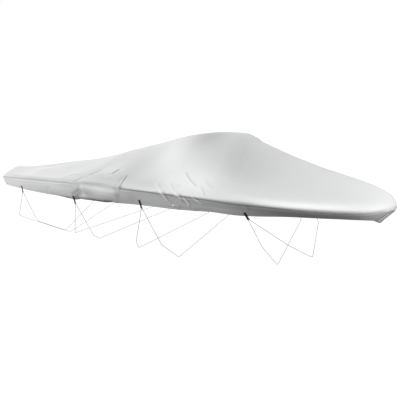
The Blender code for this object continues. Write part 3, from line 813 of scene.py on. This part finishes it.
def cloth_uv(points):
    """Lengths along the cloth in metres: down its rows and across its columns."""
    along = np.linalg.norm(np.diff(points, axis=0), axis=-1).mean(axis=1)
    across = np.linalg.norm(np.diff(points, axis=1), axis=-1)
    u = np.concatenate(([0.0], np.cumsum(along)))[:, None] + np.zeros(points.shape[1])
    v = np.concatenate((np.zeros((len(points), 1)), np.cumsum(across, axis=1)), axis=1)
    return np.stack((u, v - v[:, -1:] / 2.0), axis=-1)


def make_cover(finish):
    """The cover cloth in one piece: hem to hem, the transom's skirt and the nose's."""
    along, across = np.meshgrid(cloth_rows(), cloth_columns(), indexing="ij")
    # The surface's painted light and shade go to the coating's colour as attributes.
    grid, _, fading, grime = surface(along, across)
    grids = (grid, end_skirt(grid[0])[:, ::-1], end_skirt(grid[-1]))
    cover = grid_piece("cover", grids, [cloth_uv(part) for part in grids], finish,
                       fading=(fading, PLAIN, PLAIN), grime=(grime, 0.0, 0.0))
    thicken(cover, CLOTH, -1.0)
    return place_piece(cover, "cloth", "cover_cloth"), *grids


# ---- stitches
# Each kind of stitch: its pitch, length and half-thickness, and how far it stands off its line.
HEM_STITCH = (0.0062, 0.0042, 0.00055, 0.0004)
PATCH_STITCH = (0.0062, 0.0042, 0.00055, 0.0001)
SEAM_STITCH = (0.0064, 0.0060, 0.0014, 0.0003)
TAB_STITCH = (0.0038, 0.0026, 0.00035, 0.0)
STITCH_SIDES = 5
STITCH_BULGE = 0.5  # how far a stitch's middle stands up, in half-thicknesses
STITCH_SINK = 0.6  # how far its ends go down, in the same


def stitch_row(line, normals, pitch, size, thread, lift):
    """Points and faces of a row of stitches along a line of points on cloth.

    A stitch has a pole at each end and between them, a quarter of its size from its middle, two rings
    of radius thread. Stitch k has its middle at run (k + 1 / 2) * pitch.
    """
    line = line + normals * lift
    run = run_along(line)
    at = np.arange(pitch / 2.0, run[-1], pitch)
    centre, out = at_runs(line, run, at), unit(at_runs(normals, run, at))
    ahead = unit(at_runs(line, run, at + 0.001) - centre + 1e-9)
    ahead = unit(ahead - out * (ahead * out).sum(axis=-1, keepdims=True))
    axes = np.stack((ahead, np.cross(out, ahead), out), axis=1)
    angle = full_turn(STITCH_SIDES)[:-1]
    ring = np.stack((0.0 * angle, np.cos(angle), np.sin(angle) + STITCH_BULGE), axis=-1) * thread
    tip = np.array([(0.0, 0.0, -STITCH_SINK * thread)])
    half, quarter = (size / 2.0, 0.0, 0.0), (size / 4.0, 0.0, 0.0)
    shape = np.concatenate((tip - half, ring - quarter, ring + quarter, tip + half))
    points = centre[:, None] + np.einsum("pk,nkd->npd", shape, axes)
    faces = []
    for a in range(1, STITCH_SIDES + 1):
        b = a % STITCH_SIDES + 1
        far_a, far_b = a + STITCH_SIDES, b + STITCH_SIDES
        faces += [(0, b, a), (len(shape) - 1, far_a, far_b), (a, b, far_b), (a, far_b, far_a)]
    faces = (np.arange(len(at)) * len(shape))[:, None, None] + np.array(faces)
    return points.reshape(-1, 3), faces.reshape(-1, 3)


def sew(name, slot, rows, finish):
    """Rows of stitches as one piece."""
    points, faces = zip(*rows)
    firsts = np.cumsum([0] + [len(part) for part in points])
    faces = np.concatenate([part + first for part, first in zip(faces, firsts)])
    return place_piece(mesh_piece(name, np.concatenate(points), faces, finish), slot)


def make_hem_stitches(grid, stern, nose, finish):
    """The row of stitches that holds the hem up, right round the cover."""
    column, normals = HEM_COLUMNS - 1, grid_normals(grid)
    lines = [(grid[:, k], normals[:, k]) for k in (column, -1 - column)]
    lines += [(skirt[-1 - column], grid_normals(skirt)[-1 - column]) for skirt in (stern, nose)]
    return sew("hem_stitches", "cloth", [stitch_row(*line, *HEM_STITCH) for line in lines], finish)


# ---- bow patch
PATCH = 0.0015  # patch thickness
PATCH_GAP = 0.0003  # clearance to the nose's skirt
PATCH_SEAMS = (0.10, 0.22)  # from each edge to its seams, as shares of its half-width
SEAM_GAP = 0.0022  # from a side seam's line to each of its two rows

# The seams of the patch's backing on both sides' skirts, as points (along, across).
SIDE_SEAMS = (
    ((0.9972, 2.03), (0.9938, 2.22), (0.9921, 2.55), (0.9912, 2.98)),
    ((0.9992, 2.05), (0.9982, 2.30), (0.9975, 2.98)),
)


def on_grid(values, rows, columns, along, across):
    """A grid's values at points (along, across), linear between its rows and between its columns."""
    row = np.interp(along, rows, np.arange(len(rows)))
    column = np.interp(across, columns, np.arange(len(columns)))
    i, j = np.minimum(row.astype(int), len(rows) - 2), np.minimum(column.astype(int), len(columns) - 2)
    s, t = (row - i)[:, None], (column - j)[:, None]
    near, far = (values[k, j] * (1.0 - t) + values[k, j + 1] * t for k in (i, i + 1))
    return near * (1.0 - s) + far * s


def side_seam_rows(grid):
    """Two rows of stitches along each side seam, on both sides' skirts."""
    rows, columns, normals = cloth_rows(), cloth_columns(), grid_normals(grid)
    made = []
    for seam in SIDE_SEAMS:
        seam_along, seam_across = np.array(seam).T
        across = np.linspace(seam_across[0], seam_across[-1], 60)
        along = np.interp(across, seam_across, seam_along)
        for side in (-1.0, 1.0):
            line, out = (on_grid(values, rows, columns, along, side * across) for values in (grid, normals))
            aside = unit(np.cross(out, np.gradient(line, axis=0)))
            made += [stitch_row(line + aside * shift, unit(out), *SEAM_STITCH)
                     for shift in (-SEAM_GAP, SEAM_GAP)]
    return made


def make_bow_patch(grid, nose, patch_finish, thread_finish):
    """The patch down the stem over the nose's skirt, with its stitches and the side seams'."""
    normals = grid_normals(nose)
    face = nose + normals * PATCH_GAP
    patch = grid_piece("stem_patch", [face], [cloth_uv(face)], patch_finish, fading=(PLAIN,), grime=(0.0,))
    thicken(patch, PATCH, 1.0)
    outside = face + normals * PATCH
    rows = side_seam_rows(grid)
    for seam in PATCH_SEAMS:
        for edge in (seam, 2.0 - seam):
            at = edge / 2.0 * (nose.shape[1] - 1)
            low, mix = int(at), at - int(at)
            line = outside[:, low] * (1.0 - mix) + outside[:, low + 1] * mix
            rows.append(stitch_row(line, normals[:, low], *PATCH_STITCH))
    return place_piece(patch, "patch", "bow_patch"), sew("stem_stitches", "patch", rows, thread_finish)


# ---- webbing tabs
# Each pair's distance forward of the transom, degrees that the foot leans forward, length sewn over
# the skirt above the hem, and length below it.
TABS = (
    (0.487, -11.0, 0.055, 0.050),
    (1.68, 4.0, 0.055, 0.050),
    (2.825, 5.0, 0.072, 0.035),
    (4.125, 22.0, 0.052, 0.042),
)
TAB_WIDTH = 0.025
STRAP = 0.0015  # one layer of webbing
FOOT_RADIUS = 0.0045  # the rounded fold at the tab's foot
FOOT_LENGTH = 0.016  # length over which the strap swells to its foot
STRAIGHT_POINTS, SWELL_POINTS, FOOT_POINTS = 26, 8, 12
TAB_STAND_OFF = 0.0022  # clearance to the skirt
STRAP_ON_CLOTH = 0.0004  # clearance of the sewn part to the finished skirt
SECTION_POINTS = 14  # points round the strap's own section
LAYER_GAP = 0.00005  # half of the gap between the strap's two layers
PRESSED = 0.96  # the strap's thickness in its own section, as a share of STRAP
LOOP_REACH = 0.0155  # half-width of the cord's loop through the fold
LOOP_DROP = 0.0055  # half-height of that loop
LOOP_RINGS = 48
LOOP_RUN = 0.012  # length of its line for each radian


def skirt_point(x, side, above_hem):
    """A point of the skirt, with its folds but no slack or creases, a distance above the hem."""
    along = (x + np.array((-0.005, 0.0, 0.005))) / LENGTH
    fold = bare_cloth(along, side * 2.0)[0]
    hem, length = bare_cloth(along, side * 3.0)
    points = hem + (fold - hem) * (above_hem / length)[:, None]
    normal = unit(np.cross(points[2] - points[0], fold[1] - hem[1])) * -side
    return points[1] + normal * fold_height(side, points[1, 0], length[1] - above_hem)


def tab_axes(x, side, lean, sewn):
    """A tab's axes: out of the skirt, up the strap and along the hull, and its origin at the hem."""
    hem = skirt_point(x, side, 0.0)
    up = unit(skirt_point(x, side, sewn) - hem)
    forward = unit(skirt_point(x + 0.02, side, 0.0) - skirt_point(x - 0.02, side, 0.0))
    out = unit(np.cross(up, forward))
    out = out if out[1] * side > 0.0 else -out
    forward = unit(forward - out * forward.dot(out))
    angle = np.radians(lean)
    up = unit(up * np.cos(angle) - forward * np.sin(angle))
    return np.stack((out, up, np.cross(out, up))), hem + out * (STRAP + TAB_STAND_OFF)


def cloth_under(x, side, sewn, axes, origin):
    """Heights up a tab's sewn part, and how far out each is moved to lie on the finished skirt.

    A height's value is the farthest that the skirt stands out under the strap near it.
    """
    along = (x + np.linspace(-0.03, 0.03, 25)) / LENGTH
    across = np.sort(side * np.linspace(2.2, 3.0, 60))
    points = surface(*np.meshgrid(along, across, indexing="ij"))[0]
    out, up, width = np.moveaxis((points - origin) @ axes.T, -1, 0)
    under = np.abs(width) < TAB_WIDTH / 2.0
    heights = np.linspace(-0.002, sewn, 14)
    near = [out[under & (np.abs(up - height) < 0.008)].max() for height in heights]
    return heights, np.array(near) + STRAP + STRAP_ON_CLOTH


def lay_on_cloth(height, heights, shifts):
    """How far the strap is moved out at a height: the value above the hem, fading out below it."""
    return np.interp(height, heights, shifts) * smoothstep(-0.035, -0.002, height)


def strap_line(sewn, hanging):
    """The strap's centreline seen on its edge, out and up, from the front's top round the foot.

    Each half runs straight down and swells by smoothstep to the foot, which is a half circle.
    """
    radius = FOOT_RADIUS - STRAP / 2.0
    middle = STRAP / 2.0 + LAYER_GAP
    swell = np.linspace(0.0, 1.0, SWELL_POINTS)
    half = middle + (radius - middle) * smoothstep(0.0, 1.0, swell)
    centre = FOOT_RADIUS - hanging
    straight = np.linspace(sewn - 0.001, centre + FOOT_LENGTH + 0.002, STRAIGHT_POINTS)
    side = np.concatenate((np.stack((middle + 0.0 * straight, straight), axis=-1),
                           np.stack((half, centre + FOOT_LENGTH * (1.0 - swell)), axis=-1)))
    angle = np.linspace(0.0, -np.pi, FOOT_POINTS)[1:-1]
    foot = np.stack((radius * np.cos(angle), centre + radius * np.sin(angle)), axis=-1)
    return np.concatenate((side, foot, side[::-1] * (-1.0, 1.0)))


def strap_grid(sewn, hanging):
    """The folded strap in its own axes, and its UV map: a flat section carried along strap_line.

    The section is a super-ellipse, |w / half width|^6 + |t / half thickness|^4 = 1.
    """
    line = strap_line(sewn, hanging)
    ahead = unit(np.gradient(line, axis=0))
    across = np.stack((ahead[:, 1], -ahead[:, 0]), axis=-1)
    angle = full_turn(SECTION_POINTS)
    wide = signed_power(np.cos(angle), 1.0 / 3.0) * TAB_WIDTH / 2.0
    thick = signed_power(np.sin(angle), 0.5) * STRAP / 2.0 * PRESSED
    out_up = line[:, None] + across[:, None] * thick[None, :, None]
    grid = np.concatenate((out_up, np.broadcast_to(wide, out_up.shape[:2])[..., None]), axis=-1)
    ends = [end.mean(axis=1, keepdims=True) + 0.0 * end for end in (grid[:1], grid[-1:])]
    grid = np.concatenate((ends[0], grid, ends[1]))
    run = np.pad(run_along(line), 1, mode="edge")
    return grid, np.stack((grid[..., 2], np.broadcast_to(run[:, None], grid.shape[:2])), axis=-1)


def box_seam(sewn):
    """The seam that holds a tab to the skirt, in width and height: a box with a cross in it."""
    w, low, high = TAB_WIDTH / 2.0 - 0.004, 0.006, sewn - 0.006
    corners = ((-w, low), (w, low), (w, high), (-w, high), (-w, low), (w, high), (w, low), (-w, high))
    return [np.linspace(start, end, 12) for start, end in zip(corners, corners[1:])]


def make_tabs(webbing_finish, thread_finish, cord_finish):
    """The eight webbing tabs, their box seams as one piece, and the ties through their folds.

    A tie is a loop, (LOOP_REACH * c(t), -LOOP_DROP * c(t - pi / 2)) in width and height about its
    middle, where c is the cosine's square root with the cosine's sign.
    """
    seams, ties = [], []
    turn = full_turn(LOOP_RINGS)
    wide = signed_power(np.cos(turn), 0.5) * LOOP_REACH
    high = -signed_power(np.sin(turn), 0.5) * LOOP_DROP
    for number, (place, lean, sewn, hanging) in enumerate(TABS, start=1):
        shape, uv = strap_grid(sewn, hanging)
        loop = np.stack((0.0 * turn, high + FOOT_RADIUS - hanging - LOOP_DROP, wide), axis=-1)
        for side_name, side in (("starboard", -1), ("port", 1)):
            axes, origin = tab_axes(place, side, lean, sewn)
            heights, shifts = cloth_under(place, side, sewn, axes, origin)
            moved = shape.copy()
            moved[..., 0] += lay_on_cloth(shape[..., 1], heights, shifts)
            tab = grid_piece(f"strap_{side_name}_{number}", [(origin + moved @ axes)[:, ::-side]],
                             [uv[:, ::-side]], webbing_finish)
            place_piece(tab, "webbing", f"tab_{side_name}_{number}")
            for line in box_seam(sewn):
                face = STRAP + lay_on_cloth(line[:, 1], heights, shifts)
                flat = np.stack((face, line[:, 1], line[:, 0]), axis=-1)
                out = np.broadcast_to(axes[0], (len(line), 3))
                seams.append(stitch_row(origin + flat @ axes, out, *TAB_STITCH))
            ties.append(tube(origin + loop @ axes, turn * LOOP_RUN, TIGHT_CORD / 2.0, TIGHT_RING_POINTS))
    sew("tab_stitches", "webbing", seams, thread_finish)
    place_piece(grid_piece("cord_loops", *zip(*ties), cord_finish), "cord")


# ---- floor and light
FLOOR_REACH = 60.0
FLOOR_DROP = 0.03  # from the lowest cord to the floor

# The studio's bright walls: the direction that each lies in, the cosines from it at which its light
# starts and is full, and its strength.
WALLS = (
    ((-1.0, 0.0, 0.1), 0.2, 0.9, 1.28),
    ((0.0, 1.0, 0.3), 0.2, 0.9, 0.70),
    ((1.0, 0.0, 0.15), 0.3, 0.95, 0.24),
    ((0.0, 0.0, 1.0), 0.5, 1.0, 0.24),
    ((0.0, 0.0, -1.0), 0.0, 0.4, 0.07),
)

# Round soft lamps, which all point at LAMP_AIM: name, place in the boat's axes, size and power.
LAMPS = (
    ("overhead", (3.2, -2.4, 5.2), 4.0, 84.0),
    ("stern_lamp", (-0.9, -3.2, 1.9), 1.6, 63.0),
    ("bow_lamp", (7.4, -0.6, 2.4), 1.6, 66.0),
    ("side_lamp", (4.5, -4.5, 2.0), 2.0, 28.0),
)
LAMP_AIM = (2.7, -0.2, 1.2)


def make_floor():
    """A wide plain floor just under the lowest cord, so pale that shadows hardly show on it."""
    finish = new_finish("pale_floor", (0.1, 0.1, 0.1), 0.9, (("Emission Color", (1.0, 1.0, 1.0, 1.0)),
                                                             ("Emission Strength", 0.95)))
    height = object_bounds()[0][2] - FLOOR_DROP
    points = np.array([(x * FLOOR_REACH, y * FLOOR_REACH, height)
                       for x, y in ((-1, -1), (1, -1), (1, 1), (-1, 1))]) + HELD_AT
    floor = mesh_piece("floor", points, np.array(((0, 1, 2, 3),)), finish)
    floor.visible_diffuse = False
    floor.visible_glossy = False


def make_lamp(name, place, size, power):
    """A round soft lamp at a place in the boat's axes, pointing at LAMP_AIM."""
    data = bpy.data.lights.new(name, "AREA")
    data.shape = "DISK"
    data.size = size
    data.energy = power
    lamp = new_object(name, data, place)
    lamp.rotation_euler = (Vector(LAMP_AIM) - Vector(place)).to_track_quat("-Z", "Y").to_euler()


def make_world():
    """A white backdrop to the camera, and to the cover the sum of the bright WALLS.

    A wall's light is its strength times the smoothstep of the cosine from its direction.
    """
    world = bpy.data.worlds.new("studio")
    world.use_nodes = True
    background = world.node_tree.nodes["Background"]
    background.inputs["Color"].default_value = (1.0, 1.0, 1.0, 1.0)
    around = node(world, "TexCoord").outputs["Generated"]
    total = 0.0
    for direction, start, full, strength in WALLS:
        cosine = node(world, "VectorMath", [(0, around), (1, Vector(direction).normalized())],
                      operation="DOT_PRODUCT").outputs["Value"]
        inputs = [("Value", cosine), ("From Min", start), ("From Max", full), ("To Max", strength)]
        wall = node(world, "MapRange", inputs, interpolation_type="SMOOTHSTEP")
        total = maths(world, "ADD", wall.outputs[0], total)
    seen = node(world, "LightPath").outputs["Is Camera Ray"]
    light = node(world, "Mix", [("Factor", seen), ("A", total), ("B", 1.0)]).outputs["Result"]
    world.node_tree.links.new(light, background.inputs["Strength"])
    bpy.context.scene.world = world


# ---- the whole scene
make_camera()
cord_finish = make_yarn_finish(
    "grey_cord", (0.68, 0.60, 0.78), (("Sheen Weight", 0.15),),
    ((0.10, 0.10, 0.102), (0.065, 0.065, 0.067), (0.15, 0.15, 0.152)),
    (40.0, 4.0), twisted_yarns, (0.00012, 0.7))
for cord_row in CORDS:
    make_cord(*cord_row, cord_finish)
make_knots(cord_finish)

# The coating's colour runs between these two with its tone, painted light and shade included.
cover_finish = make_cloth_finish("coated_cloth", (0.10, 0.101, 0.102), (0.92, 0.925, 0.93))
patch_finish = make_cloth_finish("patch_cloth", (0.106, 0.107, 0.108), (0.90, 0.905, 0.91))
pale_thread = make_thread_finish("pale_thread", (0.42, 0.42, 0.43), (0.62, 0.62, 0.63))
dark_thread = make_thread_finish("dark_thread", (0.05, 0.05, 0.052), (0.11, 0.11, 0.112))
webbing_finish = make_yarn_finish(
    "black_webbing", (0.62, 0.50, 0.75), (("Specular IOR Level", 0.35),),
    ((0.013, 0.013, 0.014), (0.010, 0.010, 0.011), (0.030, 0.030, 0.031)),
    (90.0, 4.0), herringbone_ribs, (0.0003, 0.8))

cover, grid, stern, nose = make_cover(cover_finish)
hem_stitches = make_hem_stitches(grid, stern, nose, pale_thread)
patch, stem_stitches = make_bow_patch(grid, nose, patch_finish, dark_thread)
make_tabs(webbing_finish, dark_thread, cord_finish)

make_floor()
make_world()
for lamp_row in LAMPS:
    make_lamp(*lamp_row)
bpy.context.scene.view_settings.view_transform = "Standard"
